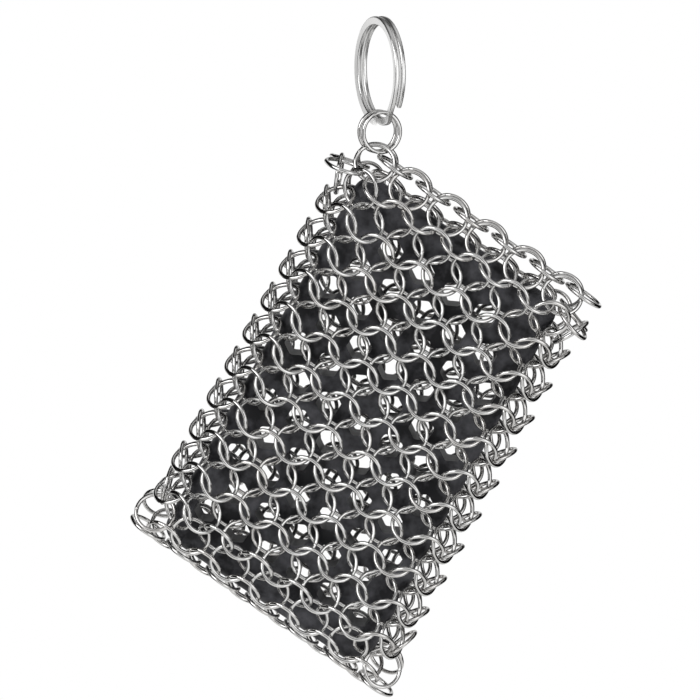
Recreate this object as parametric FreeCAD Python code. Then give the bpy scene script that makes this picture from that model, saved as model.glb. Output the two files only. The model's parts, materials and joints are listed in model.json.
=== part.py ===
import FreeCAD, Part
import math
import os

from FreeCAD import Vector

os.makedirs("parts", exist_ok=True)

# Chainmail pot scrubber that hangs by one corner: a pocket of linked steel rings round a soft insert,
# two connector rings and a split key ring. Millimetres, +Z up, front towards -Y.
# The origin is the inside of the key ring at its top, where a hook carries it.

# Mail rings and their weave
wire_diameter = 1.0
ring_inner_diameter = 8.6
link_play = 0.17
column_share = 1.494
row_share = 1.212

# The pad: its width between the outer columns and its length between the end rows, each taken to the
# nearest whole rings, then its lean from the plumb line, its slant and how far its top draws together
pad_width = 60.0
pad_length = 111.5
hang_angle = 34.0
slant_share = 0.1
slant_turn = 3.0
top_gather_share = 0.06

# Seats of a row's rings in shares of the row step: out from the column, up from the pad's middle plane
# and along the pad, for the rings on the face, in its last column and on the pad's rounded side.
wide_row_shares = ((0, 1.555, 0), (-0.14, 1.71, 0.31), (1.06, 0, 0.37))
narrow_row_shares = ((0, 1.555, 0), (-0.01, 1.79, 0.04), (0.74, 1.02, 0.04))
top_third_shares = ((0, 1.58, 0.04), (-0.12, 1.56, 0.36), (1.3, 0, 0.14))
top_second_shares = ((0, 1.56, -0.08), (0, 1.56, -0.08), (1.13, 1.22, -0.18))
top_end_shares = ((0, 0.92, -0.34), (0, 0.92, -0.34))
bottom_third_shares = ((0, 1.87, 0.33), (-0.04, 1.61, 0.38), (1.23, 0, 0.78))
bottom_second_shares = ((0, 1.47, 0.54), (0, 1.47, 0.54), (0.99, 1.12, 0.41))
bottom_end_shares = ((0, 0.96, 0.6), (0, 0.96, 0.6))
hanging_shares = (-0.14, 0.73, -0.22)

# How the same rings face, in degrees: turn round the pad's long axis, then lean along it.
wide_row_angles = ((0, -24.5), (24, -30.5), (90, -33.5))
narrow_row_angles = ((0, 30.5), (-13, 34), (54, 33))
top_third_angles = ((0, -23.5), (22.5, -18.5), (90, -25))
top_second_angles = ((0, 57), (0, 57), (69.5, 73))
top_end_angles = ((0, 26), (0, 26))
bottom_third_angles = ((0, -46.5), (29.5, -33.5), (90, -19))
bottom_second_angles = ((0, -10), (0, -10), (14.5, 31.5))
bottom_end_angles = ((0, -48), (0, -48))
hanging_angles = (11.5, 25.5)

# Closing rings in shares of the row step: along the pad, then out and along for the corner rings
top_closing_shares = (-0.88, 1.09, -0.82)
bottom_closing_shares = (1.21, 1.05, 1.17)

# Soft insert: its plays, then shares of its half thickness and of the column step
insert_play = 0.35
insert_side_play = 0.7
insert_top_play = 4.4
insert_edge_share = 0.9
insert_corner_share = 0.75
insert_hole_share = 0.95
insert_hole_corner_share = 0.15
insert_wall_share = 0.6
insert_border_share = 0.6

# Connector rings: one carries the front of the pad's corner and one the back. Their middle sits out from
# the pad's first column and along from its last row, in shares of the row step.
connector_wire_diameter = 1.0
connector_inner_diameter = 8.8
connector_gap = 1.6
connector_yaw = 30.0
connector_shares = (-0.59, 1.19)
swing_play = 0.15

# Split key ring
key_ring_outer_diameter = 26.6
key_wire_width = 2.0
key_wire_height = 1.1
key_wire_corner_radius = 0.35
key_turn_gap = 0.5
key_ring_yaw = 28.0
key_crossing_angle = 44.0
key_end_angle = 6.0
key_start_angle = 52.0

# Derived sizes of the weave
ring_radius = (ring_inner_diameter + wire_diameter) / 2
wire_radius = wire_diameter / 2
reach = wire_diameter + link_play
column_step = column_share * ring_radius - reach
row_step = row_share * ring_radius - reach
middle_column = round(pad_width / 2 / column_step)
middle_row = round(pad_length / 2 / row_step)
last_column = 2 * middle_column
last_row = 2 * middle_row
face_columns = last_column + 1
row_count = last_row + 1

row_kinds = {
    0: (bottom_end_shares, bottom_end_angles),
    1: (bottom_second_shares, bottom_second_angles),
    2: (bottom_third_shares, bottom_third_angles),
    last_row - 2: (top_third_shares, top_third_angles),
    last_row - 1: (top_second_shares, top_second_angles),
    last_row: (top_end_shares, top_end_angles),
}


def row_place(row):
    """Distance of a row from the pad's middle row."""
    return (row - middle_row) * row_step


def half_width(row):
    """Distance of a row's end columns from its middle; the rows draw together towards the top."""
    gather = 1 - top_gather_share * (row + 1) / (row_count + 1)
    return middle_column * column_step * gather


def slanted(across, along):
    """Point of the pad's middle plane: the hanging pad leans over in its own plane."""
    return Vector(across - slant_share * along, along, 0)


def column_place(column, row):
    """Place of a column across the pad."""
    return slanted((column / middle_column - 1) * half_width(row), row_place(row)).x


def facing(turn, lean):
    """Axis of a ring that is turned round the pad's long axis and leaned along it."""
    flat = math.cos(math.radians(lean))
    around = math.radians(turn)
    return Vector(math.sin(around) * flat, math.sin(math.radians(lean)), math.cos(around) * flat)


def mail_ring(centre, axis):
    return Part.makeTorus(ring_radius, wire_radius, centre, axis)


def mirrored_pair(centre, axis):
    """The ring on the front and its twin on the back."""
    back_centre = Vector(centre.x, centre.y, -centre.z)
    back_axis = Vector(axis.x, axis.y, -axis.z)
    return [mail_ring(centre, axis), mail_ring(back_centre, back_axis)]


def seat(start, row, shares, side):
    """Centre of a ring from the column where it starts and the shares of its seat."""
    out, up, along = shares
    return Vector(start + side * out * row_step, row_place(row) + along * row_step, up * row_step)


def row_kind(row):
    if row in row_kinds:
        return row_kinds[row]
    if row % 2 == 0:
        return wide_row_shares, wide_row_angles
    return narrow_row_shares, narrow_row_angles


def mail_row(row):
    """One row of the pocket: its rings on the front and the back, and those round the two sides."""
    shares, angles = row_kind(row)
    slant = slant_turn if row % 2 else -slant_turn
    columns = range(row % 2, face_columns, 2)
    rings = []
    for column in columns:
        place = int(column in (columns[0], columns[-1]))
        side = -1 if column == columns[0] else 1
        turn, lean = angles[place]
        centre = seat(column_place(column, row), row, shares[place], side)
        axis = facing(side * turn + slant, lean)
        if (row, column) == (last_row, 0):
            centre = seat(column_place(column, row), row, hanging_shares, side)
            axis = facing(side * hanging_angles[0], hanging_angles[1])
        rings += mirrored_pair(centre, axis)
    if len(shares) > 2:
        for side, column in ((-1, 0), (1, last_column)):
            centre = seat(column_place(column, row), row, shares[2], side)
            axis = facing(side * angles[2][0], angles[2][1])
            rings += mirrored_pair(centre, axis) if centre.z > 0 else [mail_ring(centre, axis)]
    return rings


def corner_ring(row, shares, side):
    """The closing ring at one corner of the pocket."""
    start = column_place(0 if side < 0 else last_column, row)
    return mail_ring(seat(start, row, (shares[1], 0, shares[2]), side), Vector(0, 1, 0))


def closing_row(row, shares):
    """The rings between two corners that lace the end row of the front to that of the back."""
    along = row_place(row) + shares[0] * row_step
    columns = range(1, face_columns, 2)
    return [mail_ring(Vector(column_place(column, row), along, 0), Vector(0, 1, 0)) for column in columns]


def rounded_outline(points, radius):
    """Closed outline through points in the XY plane with its corners rounded."""
    edges = []
    for index, point in enumerate(points):
        before = points[index - 1]
        after = points[(index + 1) % len(points)]
        inward = (before - point).normalize()
        outward = (after - point).normalize()
        half_turn = inward.getAngle(outward) / 2
        cut = radius / math.tan(half_turn)
        bisector = (inward + outward).normalize()
        apex = point + bisector * (radius / math.sin(half_turn) - radius)
        edges.append((point + inward * cut, apex, point + outward * cut))
    sides = []
    for index, (start, apex, end) in enumerate(edges):
        previous_end = edges[index - 1][2]
        sides.append(Part.LineSegment(previous_end, start).toShape())
        sides.append(Part.Arc(start, apex, end).toShape())
    return Part.Wire(sides)


def slab(outline, thickness):
    """The outline's prism, centred on the pad's middle plane."""
    prism = Part.Face(outline).extrude(Vector(0, 0, thickness))
    prism.translate(Vector(0, 0, -thickness / 2))
    return prism


# Insert: as thick as the pocket's narrowest row leaves room for, and resting on the bottom closing rings
narrowest_lean = math.radians(narrow_row_angles[0][1])
pocket_half_gap = narrow_row_shares[0][1] * row_step - ring_radius * math.sin(narrowest_lean) - wire_radius
insert_thickness = 2 * (pocket_half_gap - insert_play)
insert_corner_radius = insert_corner_share * column_step
insert_hole_width = insert_hole_share * column_step
insert_hole_corner_radius = insert_hole_corner_share * column_step
insert_wall = insert_wall_share * column_step
insert_border = insert_border_share * column_step
top_closing_place = row_place(row_count) + top_closing_shares[0] * row_step
bottom_closing_place = row_place(-1) + bottom_closing_shares[0] * row_step
insert_bottom = bottom_closing_place + wire_radius + insert_play
insert_top = top_closing_place - wire_radius - insert_top_play
insert_middle = (insert_top + insert_bottom) / 2


def insert_half_width(along):
    """Half the insert's width, up to the rings on the pocket's sides; it narrows with the pocket."""
    pocket = half_width(along / row_step + middle_row) + wide_row_shares[2][0] * row_step
    side_lean = math.radians(-wide_row_angles[2][1])
    return pocket - ring_radius * math.sin(side_lean) - wire_radius - insert_side_play


def insert_body():
    """Slab with rounded edges and a honeycomb of drain holes."""
    corners = [
        slanted(-insert_half_width(insert_bottom), insert_bottom),
        slanted(insert_half_width(insert_bottom), insert_bottom),
        slanted(insert_half_width(insert_top), insert_top),
        slanted(-insert_half_width(insert_top), insert_top),
    ]
    body = slab(rounded_outline(corners, insert_corner_radius), insert_thickness)
    rim = [edge for edge in body.Edges if edge.BoundBox.ZLength < insert_thickness / 2]
    body = body.makeFillet(insert_edge_share * insert_thickness / 2, rim)

    flat_share = math.cos(math.radians(30))
    hole_radius = insert_hole_width / 2 / flat_share
    points = []
    for index in range(6):
        angle = math.radians(60 * index + 30)
        points.append(Vector(hole_radius * math.cos(angle), hole_radius * math.sin(angle), 0))
    hole = slab(rounded_outline(points, insert_hole_corner_radius), 2 * insert_thickness)

    hole_pitch = insert_hole_width + insert_wall
    line_pitch = hole_pitch * flat_share
    clear_height = (insert_top - insert_bottom) / 2 - insert_border - hole_radius
    line_reach = int(clear_height / line_pitch)
    holes = []
    for line in range(-line_reach, line_reach + 1):
        place = insert_middle + line * line_pitch
        offset = hole_pitch / 2 if line % 2 else 0
        clear_width = insert_half_width(place) - insert_border - insert_hole_width / 2
        reach_count = int((clear_width - offset) / hole_pitch)
        first = -reach_count - (1 if line % 2 else 0)
        for index in range(first, reach_count + 1):
            copy = hole.copy()
            copy.translate(slanted(offset + index * hole_pitch, place))
            holes.append(copy)
    return body.cut(Part.makeCompound(holes))


# Chain of hanging pieces, from the hook down
key_ring_radius = (key_ring_outer_diameter - key_wire_width) / 2
key_layer = (key_wire_height + key_turn_gap) / 2
key_bundle_height = 2 * key_wire_height + key_turn_gap
key_centre = Vector(0, 0, -(key_ring_radius - key_wire_width / 2))
key_bottom = key_centre.z - key_ring_radius
connector_radius = (connector_inner_diameter + connector_wire_diameter) / 2
connector_spacing = connector_wire_diameter + connector_gap
bundle_reach = math.hypot(key_wire_width, key_bundle_height) / 2 + swing_play
connector_centre = key_bottom + bundle_reach + connector_wire_diameter / 2 - connector_radius

# The pad hangs by the two rings of its top left corner.
lean_angle = math.radians(hang_angle)
across = Vector(math.cos(lean_angle), 0, -math.sin(lean_angle))
along = Vector(math.sin(lean_angle), 0, math.cos(lean_angle))
outward = Vector(0, -1, 0)
connector_seat = seat(column_place(0, last_row), last_row, (-connector_shares[0], 0, connector_shares[1]), -1)
pad_origin = Vector(0, 0, connector_centre) - across * connector_seat.x - along * connector_seat.y
pad_placement = FreeCAD.Placement(
    FreeCAD.Matrix(
        across.x, along.x, outward.x, pad_origin.x,
        across.y, along.y, outward.y, pad_origin.y,
        across.z, along.z, outward.z, pad_origin.z,
        0, 0, 0, 1,
    )
)


def connector_ring(side):
    """One of the two rings between the key ring and the pad's corner."""
    yaw = math.radians(connector_yaw)
    axis = Vector(math.sin(yaw), -math.cos(yaw), 0)
    centre = Vector(0, 0, connector_centre) + axis * (side * connector_spacing / 2)
    return Part.makeTorus(connector_radius, connector_wire_diameter / 2, centre, axis)


def key_path_point(angle, layer):
    """Point and direction of the key ring's wire at an angle from its bottom, in the ring's own plane."""
    point = Vector(key_ring_radius * math.sin(angle), -key_ring_radius * math.cos(angle), layer)
    direction = Vector(math.cos(angle), math.sin(angle), 0)
    return point, direction


def arc_from(start, direction, end):
    """Arc that leaves start along direction and stops at end."""
    chord = end - start
    bend = direction.getAngle(chord)
    middle = start + chord * 0.5
    normal = direction - chord * (direction.dot(chord) / chord.dot(chord))
    bulge = chord.Length / 2 * math.tan(bend / 2)
    return Part.Arc(start, middle + normal.normalize() * bulge, end).toShape()


def biarc(start, end):
    """Two arcs that join one point and direction to another without a kink."""
    (first, leave), (last, arrive) = start, end
    span = last - first
    total = leave + arrive
    slack = 2 * (1 - leave.dot(arrive))
    ahead = span.dot(total)
    length = (math.sqrt(ahead * ahead + slack * span.dot(span)) - ahead) / slack
    joint = (first + last + (leave - arrive) * length) * 0.5
    joint_direction = (joint - first - leave * length).normalize()
    return [arc_from(first, leave, joint), arc_from(joint, joint_direction, last)]


def key_ring():
    """Split ring: one flat wire that lies in a lower and an upper layer and crosses between them."""
    lower_sweep = 360 - key_crossing_angle
    turns = [(0, -key_layer), (lower_sweep / 2, -key_layer), (lower_sweep, -key_layer)]
    upper_sweep = 360 - key_crossing_angle - 2 * key_end_angle
    turns += [(360, key_layer), (360 + upper_sweep / 2, key_layer), (360 + upper_sweep, key_layer)]
    stations = [key_path_point(math.radians(key_start_angle + turn), layer) for turn, layer in turns]
    edges = []
    for first, second in zip(stations, stations[1:]):
        edges += biarc(first, second)
    path = Part.Wire(edges)

    section_reach = key_wire_width / 2
    section_rise = key_wire_height / 2
    section = rounded_outline(
        [
            Vector(-section_reach, -section_rise, 0),
            Vector(section_reach, -section_rise, 0),
            Vector(section_reach, section_rise, 0),
            Vector(-section_reach, section_rise, 0),
        ],
        key_wire_corner_radius,
    )
    start, direction = stations[0]
    radial = Vector(start.x, start.y, 0).normalize()
    upright = direction.cross(radial)
    section.Placement = FreeCAD.Placement(
        FreeCAD.Matrix(
            radial.x, upright.x, direction.x, start.x,
            radial.y, upright.y, direction.y, start.y,
            radial.z, upright.z, direction.z, start.z,
            0, 0, 0, 1,
        )
    )
    return path, path.makePipeShell([section], True, False)


def key_ring_self_gap(path):
    """Least gap between the two turns, from points along the wire that lie over half a turn apart."""
    points = path.discretize(240)
    apart = len(points) // 4
    nearest = min(
        first.distanceToPoint(second)
        for index, first in enumerate(points)
        for second in points[index + apart:]
    )
    return nearest - key_wire_height


# The key ring's own plane is turned so that its bottom runs at the key ring's yaw.
key_yaw = math.radians(key_ring_yaw)
key_tangent = Vector(math.sin(key_yaw), -math.cos(key_yaw), 0)
key_axis = key_tangent.cross(Vector(0, 0, 1))
key_placement = FreeCAD.Placement(
    FreeCAD.Matrix(
        key_tangent.x, 0, key_axis.x, key_centre.x,
        key_tangent.y, 0, key_axis.y, key_centre.y,
        key_tangent.z, 1, key_axis.z, key_centre.z,
        0, 0, 0, 1,
    )
)


def save(name, shapes, placement=None):
    shape = shapes[0] if len(shapes) == 1 else Part.makeCompound(shapes)
    if placement:
        shape.Placement = placement
    shape.exportStep("parts/" + name + ".step")


for row in range(row_count):
    save("mail_row_%02d" % (row + 1), mail_row(row), pad_placement)

for end, row, shares in (("top", row_count, top_closing_shares), ("bottom", -1, bottom_closing_shares)):
    save(end + "_closing_rings", closing_row(row, shares), pad_placement)
    save(end + "_right_corner_ring", [corner_ring(row, shares, 1)], pad_placement)
save("bottom_left_corner_ring", [corner_ring(-1, bottom_closing_shares, -1)], pad_placement)

save("soft_insert", [insert_body()], pad_placement)
save("front_connector_ring", [connector_ring(1)])
save("back_connector_ring", [connector_ring(-1)])

key_path, key_solid = key_ring()
save("key_ring", [key_solid], key_placement)

key_section = key_wire_width * key_wire_height - (4 - math.pi) * key_wire_corner_radius ** 2
print("key ring gap to itself %.3f" % key_ring_self_gap(key_path))
print("key ring volume %.1f, section times length %.1f" % (key_solid.Volume, key_section * key_path.Length))
insert_width = 2 * insert_half_width(insert_middle)
print("insert %.2f x %.2f x %.2f" % (insert_width, insert_top - insert_bottom, insert_thickness))
print("key ring pivot z %.4f, tangent %.5f %.5f" % (key_bottom, key_tangent.x, key_tangent.y))
print("connector pivot z %.4f" % connector_centre)
slide = (slanted(0, 1).x * across + along).normalize()
print("insert slide %.5f %.5f, pad origin %.4f %.4f" % (slide.x, slide.z, pad_origin.x, pad_origin.z))
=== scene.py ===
import json
import math

import bpy
import numpy as np
from mathutils import Matrix, Vector


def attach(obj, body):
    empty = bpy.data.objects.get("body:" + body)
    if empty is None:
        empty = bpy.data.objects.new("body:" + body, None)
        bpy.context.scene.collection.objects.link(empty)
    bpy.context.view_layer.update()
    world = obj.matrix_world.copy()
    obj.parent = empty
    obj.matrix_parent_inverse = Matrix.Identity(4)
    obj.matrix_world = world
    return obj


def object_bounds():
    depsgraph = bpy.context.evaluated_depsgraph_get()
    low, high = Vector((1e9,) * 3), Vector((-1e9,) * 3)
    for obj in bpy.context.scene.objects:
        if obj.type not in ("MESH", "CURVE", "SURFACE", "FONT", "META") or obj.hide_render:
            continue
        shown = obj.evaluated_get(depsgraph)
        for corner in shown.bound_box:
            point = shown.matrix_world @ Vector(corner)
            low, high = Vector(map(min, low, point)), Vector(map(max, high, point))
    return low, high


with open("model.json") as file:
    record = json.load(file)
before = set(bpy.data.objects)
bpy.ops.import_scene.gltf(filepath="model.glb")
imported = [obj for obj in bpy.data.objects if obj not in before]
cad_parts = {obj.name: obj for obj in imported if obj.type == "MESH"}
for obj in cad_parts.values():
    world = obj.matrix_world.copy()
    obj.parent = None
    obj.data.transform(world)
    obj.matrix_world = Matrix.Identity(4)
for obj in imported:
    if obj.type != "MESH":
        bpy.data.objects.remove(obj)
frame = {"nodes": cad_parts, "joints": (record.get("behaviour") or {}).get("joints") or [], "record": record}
cad_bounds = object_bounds()

# Lengths are in metres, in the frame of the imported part: +Z up, front towards -Y.
millimetre = 0.001

# Weld marks on the mail rings: shares of the wire's radius, facets, and how their places vary
mail_wire_radius = 0.5 * millimetre
weld_bulge_share = 1.14
weld_end_share = 0.96
weld_length_share = 0.8
weld_sides = 10
weld_rings = 7
weld_side_cycle = 3
weld_jitter_angle = 24.0
weld_jitter_step = 2.4

# Steel: colours as linear red, green and blue, ranges of roughness, smudges and dents
steel_colour = (0.70, 0.698, 0.692)
warm_steel_colour = (0.645, 0.62, 0.60)
key_steel_colour = (0.80, 0.798, 0.793)
mail_roughness = (0.03, 0.10)
key_ring_roughness = (0.26, 0.36)
smudge_scale = 160.0
smudge_detail = 4.0
dent_scale = 900.0
dent_detail = 2.0
dent_strength = 0.12
dent_depth = 0.05 * millimetre

# Silicone: colours, lighter clouds that are partly dust and partly painted sheen (soft highlights painted
# into the colour), and its moulded grain
silicone_colour = (0.009, 0.009, 0.011)
# The lighter silicone colour is partly dust and partly a painted sheen that stands in for soft highlights
silicone_dust_and_sheen_colour = (0.115, 0.115, 0.128)
silicone_roughness = (0.36, 0.58)
silicone_specular = 0.3
dust_and_sheen_scale = 140.0
dust_and_sheen_detail = 4.0
dust_and_sheen_shares = (-1.3, 1.9)
grain_scale = 2600.0
grain_detail = 3.0
grain_strength = 0.25
grain_depth = 0.03 * millimetre

# How fast the finer steps of every noise fade
noise_roughness = 0.6

# Camera
image_width_pixels = 700
pixels_per_millimetre = 4.03
camera_lens = 150.0
camera_sensor = 36.0
camera_target = Vector((-7.3, 0, -80.5)) * millimetre
camera_azimuth = 6.0
camera_elevation = 10.0

# Studio
floor_colour = (0.86, 0.86, 0.85)
floor_roughness = 0.8
floor_drop = 150 * millimetre
floor_size = 480 * millimetre
key_light_size = 500 * millimetre
key_light_place = Vector((-420, -520, 420)) * millimetre
key_light_power = 1.9
fill_light_size = 700 * millimetre
fill_light_place = Vector((620, -380, 60)) * millimetre
fill_light_power = 1.0
room_level = 0.72
background_level = 1.0

# What the metal mirrors, from the front (0) round the sides to the back (1), as levels of grey
mirror_levels = (
    (0, 0.1),
    (0.02, 0.06),
    (0.05, 1),
    (0.18, 1),
    (0.25, 0.02),
    (0.68, 0),
    (0.93, 0.02),
    (1, 1),
)

# Pale panels that the metal mirrors too, at the left and overhead: the direction of the middle, the level
# of grey, and the angles from the middle where a panel is gone and where it is whole
mirror_panels = (
    (Vector((-0.75, 0.63, -0.17)), 1.0, 28.0, 16.0),
    (Vector((0.35, 0.15, 0.92)), 0.6, 38.0, 18.0),
)

mail_nodes = frame["record"]["behaviour"]["bodies"]["mail"]
connector_nodes = frame["record"]["behaviour"]["bodies"]["connectors"]
slide_axis = Vector(next(joint["axis"] for joint in frame["joints"] if joint["name"] == "insert_slide"))
across_axis = Vector((slide_axis.z, 0, -slide_axis.x)).normalized()


def grey(level):
    return level, level, level, 1


def new_material(name):
    """A material and its principled shader."""
    material = bpy.data.materials.new(name)
    material.use_nodes = True
    return material, material.node_tree.nodes["Principled BSDF"]


def noise(tree, coordinates, scale, detail):
    """Clouds from 0 to 1."""
    node = tree.nodes.new("ShaderNodeTexNoise")
    node.inputs["Scale"].default_value = scale
    node.inputs["Detail"].default_value = detail
    node.inputs["Roughness"].default_value = noise_roughness
    tree.links.new(coordinates, node.inputs["Vector"])
    return node.outputs["Fac"]


def mapped(tree, value, low, high):
    """A value from 0 to 1 brought to another range."""
    node = tree.nodes.new("ShaderNodeMapRange")
    node.inputs["To Min"].default_value = low
    node.inputs["To Max"].default_value = high
    tree.links.new(value, node.inputs["Value"])
    return node.outputs["Result"]


def mixed_colour(tree, factor, first, second):
    """One colour at a factor of 0 that turns into another at 1."""
    node = tree.nodes.new("ShaderNodeMix")
    node.data_type = "RGBA"
    node.inputs["A"].default_value = (*first, 1)
    node.inputs["B"].default_value = (*second, 1)
    tree.links.new(factor, node.inputs["Factor"])
    return node.outputs["Result"]


def bumped(tree, height, strength, depth):
    """Normals of a surface with small dents."""
    node = tree.nodes.new("ShaderNodeBump")
    node.inputs["Strength"].default_value = strength
    node.inputs["Distance"].default_value = depth
    tree.links.new(height, node.inputs["Height"])
    return node.outputs["Normal"]


def steel_material(name, colour, tint, roughness):
    """Polished wire: each ring differs a little in tint, with smudges and small dents."""
    material, shader = new_material(name)
    tree = material.node_tree
    place = tree.nodes.new("ShaderNodeTexCoord").outputs["Object"]
    ring = tree.nodes.new("ShaderNodeNewGeometry").outputs["Random Per Island"]
    smudges = noise(tree, place, smudge_scale, smudge_detail)
    dents = noise(tree, place, dent_scale, dent_detail)
    tint_share = tree.nodes.new("ShaderNodeMath")
    tint_share.operation = "MULTIPLY"
    tree.links.new(ring, tint_share.inputs[0])
    tree.links.new(smudges, tint_share.inputs[1])
    tinted = mixed_colour(tree, tint_share.outputs[0], colour, tint)
    tree.links.new(tinted, shader.inputs["Base Color"])
    tree.links.new(mapped(tree, smudges, *roughness), shader.inputs["Roughness"])
    tree.links.new(bumped(tree, dents, dent_strength, dent_depth), shader.inputs["Normal"])
    shader.inputs["Metallic"].default_value = 1.0
    return material


def silicone_material():
    """Matt moulded silicone with a fine grain, and lighter clouds in its colour that are partly dust and
    partly painted sheen.
    """
    material, shader = new_material("insert_silicone")
    tree = material.node_tree
    place = tree.nodes.new("ShaderNodeTexCoord").outputs["Object"]
    grain = noise(tree, place, grain_scale, grain_detail)
    clouds = noise(tree, place, dust_and_sheen_scale, dust_and_sheen_detail)
    # Clouds that lighten the colour: partly dust, partly a painted sheen standing in for soft highlights
    dust_and_sheen_share = mapped(tree, clouds, *dust_and_sheen_shares)
    dust_and_sheen_mix = mixed_colour(tree, dust_and_sheen_share, silicone_colour, silicone_dust_and_sheen_colour)
    tree.links.new(dust_and_sheen_mix, shader.inputs["Base Color"])
    tree.links.new(mapped(tree, clouds, *silicone_roughness), shader.inputs["Roughness"])
    tree.links.new(bumped(tree, grain, grain_strength, grain_depth), shader.inputs["Normal"])
    shader.inputs["Specular IOR Level"].default_value = silicone_specular
    return material


def floor_material():
    material, shader = new_material("floor_pale")
    shader.inputs["Base Color"].default_value = (*floor_colour, 1)
    shader.inputs["Roughness"].default_value = floor_roughness
    return material


def dress(node_names, material):
    """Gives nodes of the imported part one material."""
    for name in node_names:
        mesh = frame["nodes"][name].data
        mesh.materials.clear()
        mesh.materials.append(material)


def rings_of(node_name):
    """The vertices of each ring in a node, one array per ring: a ring ends where no face goes on."""
    mesh = frame["nodes"][node_name].data
    places = np.zeros(len(mesh.vertices) * 3)
    mesh.vertices.foreach_get("co", places)
    corners = np.zeros(len(mesh.loops), int)
    mesh.loops.foreach_get("vertex_index", corners)
    faces = corners.reshape(-1, 3)
    open_faces = np.zeros(len(mesh.vertices))
    np.add.at(open_faces, faces.min(axis=1), 1)
    np.add.at(open_faces, faces.max(axis=1), -1)
    ends = np.flatnonzero(np.cumsum(open_faces) == 0) + 1
    return np.split(places.reshape(-1, 3), ends[:-1])


def ring_frame(points):
    """Centre, mean radius and axis of a ring from its vertices."""
    centre = (points.min(axis=0) + points.max(axis=0)) / 2
    spread = points - centre
    axes = np.linalg.eigh(spread.T @ spread)[1]
    radii = np.linalg.norm(spread, axis=1)
    radius = (radii.min() + radii.max()) / 2
    return Vector(centre), radius, Vector(axes[:, 0])


def weld_shape(centre, tangent, outward):
    """Vertices and faces of one weld: a short barrel round the wire."""
    upright = tangent.cross(outward)
    points = []
    for ring in range(weld_rings):
        share = 2 * ring / (weld_rings - 1) - 1
        rise_share = math.cos(share * math.pi / 2) ** 2
        radius = (weld_end_share + (weld_bulge_share - weld_end_share) * rise_share) * mail_wire_radius
        along = tangent * (share * weld_length_share * mail_wire_radius)
        for side in range(weld_sides):
            angle = math.tau * side / weld_sides
            spoke = outward * math.cos(angle) + upright * math.sin(angle)
            points.append(centre + along + spoke * radius)
    faces = []
    for ring in range(weld_rings - 1):
        for side in range(weld_sides):
            first = ring * weld_sides + side
            second = ring * weld_sides + (side + 1) % weld_sides
            faces.append((first, second, second + weld_sides, first + weld_sides))
    return points, faces


def weld_marks():
    """One weld on each mail ring, on the part of the ring that no other ring crosses."""
    points, faces = [], []
    rings = [ring for name in mail_nodes for ring in rings_of(name)]
    for count, ring in enumerate(rings):
        centre, radius, axis = ring_frame(ring)
        side = -1 if count % weld_side_cycle else 1
        turn = math.radians(weld_jitter_angle * math.sin(count * weld_jitter_step))
        flat = across_axis - axis * across_axis.dot(axis)
        outward = Matrix.Rotation(turn, 3, axis) @ flat.normalized() * side
        start = len(points)
        new_points, new_faces = weld_shape(centre + outward * radius, axis.cross(outward), outward)
        points += new_points
        faces += [tuple(start + corner for corner in face) for face in new_faces]
    mesh = bpy.data.meshes.new("weld_marks")
    mesh.from_pydata(points, [], faces)
    mesh.shade_smooth()
    piece = bpy.data.objects.new("weld_marks", mesh)
    bpy.context.scene.collection.objects.link(piece)
    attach(piece, "mail")
    return piece


def aim(thing, target):
    """Turns a light or the camera towards a point."""
    thing.rotation_euler = (target - thing.location).to_track_quat("-Z", "Y").to_euler()


def add_light(name, place, size, power):
    """A soft square light, placed from the camera's target."""
    light = bpy.data.lights.new(name, "AREA")
    light.size = size
    light.energy = power
    thing = bpy.data.objects.new(name, light)
    bpy.context.scene.collection.objects.link(thing)
    thing.location = camera_target + place
    aim(thing, camera_target)


def add_floor():
    """A pale floor, well below the hanging part."""
    lowest = cad_bounds[0][2] - floor_drop
    bpy.ops.mesh.primitive_plane_add(size=floor_size, location=(camera_target.x, 0, lowest))
    floor = bpy.context.object
    floor.name = "floor"
    floor.data.materials.append(floor_material())


def with_panel(tree, direction, shade, middle, level, gone_angle, whole_angle):
    """A shade of the room with a soft-edged panel in front of it."""
    nearness = tree.nodes.new("ShaderNodeVectorMath")
    nearness.operation = "DOT_PRODUCT"
    nearness.inputs[1].default_value = middle.normalized()
    tree.links.new(direction, nearness.inputs[0])
    fade = tree.nodes.new("ShaderNodeMapRange")
    fade.inputs["From Min"].default_value = math.cos(math.radians(gone_angle))
    fade.inputs["From Max"].default_value = math.cos(math.radians(whole_angle))
    tree.links.new(nearness.outputs["Value"], fade.inputs["Value"])
    mixed = tree.nodes.new("ShaderNodeMix")
    mixed.data_type = "RGBA"
    mixed.inputs["B"].default_value = grey(level)
    tree.links.new(fade.outputs["Result"], mixed.inputs["Factor"])
    tree.links.new(shade, mixed.inputs["A"])
    return mixed.outputs["Result"]


def mirrored_room(tree):
    """Greys that the metal mirrors, from the front of the room to its white back, and panels."""
    direction = tree.nodes.new("ShaderNodeTexCoord").outputs["Generated"]
    split = tree.nodes.new("ShaderNodeSeparateXYZ")
    tree.links.new(direction, split.inputs["Vector"])
    depth = tree.nodes.new("ShaderNodeMapRange")
    depth.inputs["From Min"].default_value = -1.0
    tree.links.new(split.outputs["Y"], depth.inputs["Value"])
    greys = tree.nodes.new("ShaderNodeValToRGB")
    stops = greys.color_ramp.elements
    positions, levels = zip(*mirror_levels)
    for position in positions[1:-1]:
        stops.new(position)
    for stop, level in zip(stops, levels):
        stop.color = grey(level)
    tree.links.new(depth.outputs["Result"], greys.inputs["Fac"])
    shade = greys.outputs["Color"]
    for panel in mirror_panels:
        shade = with_panel(tree, direction, shade, *panel)
    return shade


def background(tree, level):
    node = tree.nodes.new("ShaderNodeBackground")
    node.inputs["Color"].default_value = grey(level)
    return node.outputs["Background"]


def mixed_shader(tree, factor, first, second):
    """One shader at a factor of 0 and another at 1."""
    node = tree.nodes.new("ShaderNodeMixShader")
    tree.links.new(factor, node.inputs["Fac"])
    tree.links.new(first, node.inputs[1])
    tree.links.new(second, node.inputs[2])
    return node.outputs["Shader"]


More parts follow.
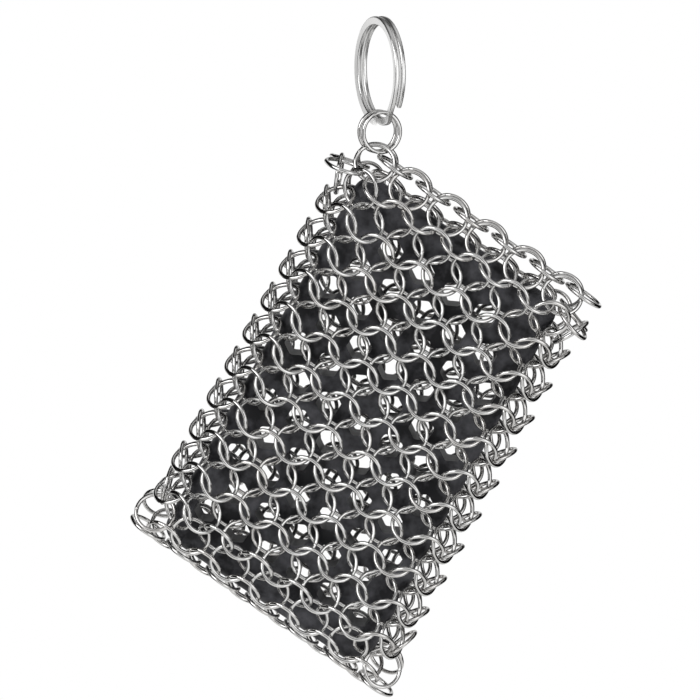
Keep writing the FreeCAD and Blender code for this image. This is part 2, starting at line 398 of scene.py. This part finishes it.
def add_room():
    """White to the camera, soft grey to diffuse light, and light and dark bands to the metal."""
    world = bpy.data.worlds.new("studio")
    bpy.context.scene.world = world
    world.use_nodes = True
    tree = world.node_tree
    path = tree.nodes.new("ShaderNodeLightPath")
    seen = tree.nodes.new("ShaderNodeMath")
    seen.operation = "MAXIMUM"
    tree.links.new(path.outputs["Is Camera Ray"], seen.inputs[0])
    tree.links.new(path.outputs["Is Transmission Ray"], seen.inputs[1])
    mirror = tree.nodes.new("ShaderNodeBackground")
    tree.links.new(mirrored_room(tree), mirror.inputs["Color"])
    room = background(tree, room_level)
    lit = mixed_shader(tree, path.outputs["Is Glossy Ray"], room, mirror.outputs["Background"])
    shown = mixed_shader(tree, seen.outputs[0], lit, background(tree, background_level))
    tree.links.new(shown, tree.nodes["World Output"].inputs["Surface"])


def add_camera():
    """A camera at the photograph's viewing angle, as far off as its scale asks for."""
    camera = bpy.data.cameras.new("camera")
    camera.lens = camera_lens
    camera.sensor_width = camera_sensor
    view_width = image_width_pixels / pixels_per_millimetre * millimetre
    distance = view_width * camera_lens / camera_sensor
    thing = bpy.data.objects.new("camera", camera)
    bpy.context.scene.collection.objects.link(thing)
    azimuth = math.radians(camera_azimuth)
    elevation = math.radians(camera_elevation)
    level_reach = distance * math.cos(elevation)
    rise = distance * math.sin(elevation)
    offset = Vector((level_reach * math.sin(azimuth), -level_reach * math.cos(azimuth), rise))
    thing.location = camera_target + offset
    aim(thing, camera_target)
    bpy.context.scene.camera = thing


mail_steel = steel_material("mail_steel", steel_colour, warm_steel_colour, mail_roughness)
connector_steel = steel_material("connector_steel", steel_colour, warm_steel_colour, mail_roughness)
key_ring_steel = steel_material("key_ring_steel", key_steel_colour, steel_colour, key_ring_roughness)
dress(mail_nodes, mail_steel)
dress(connector_nodes, connector_steel)
dress(["key_ring"], key_ring_steel)
dress(["soft_insert"], silicone_material())
weld_marks().data.materials.append(mail_steel)

add_floor()
add_light("key_light", key_light_place, key_light_size, key_light_power)
add_light("fill_light", fill_light_place, fill_light_size, fill_light_power)
add_room()
add_camera()
bpy.context.scene.view_settings.view_transform = "Standard"
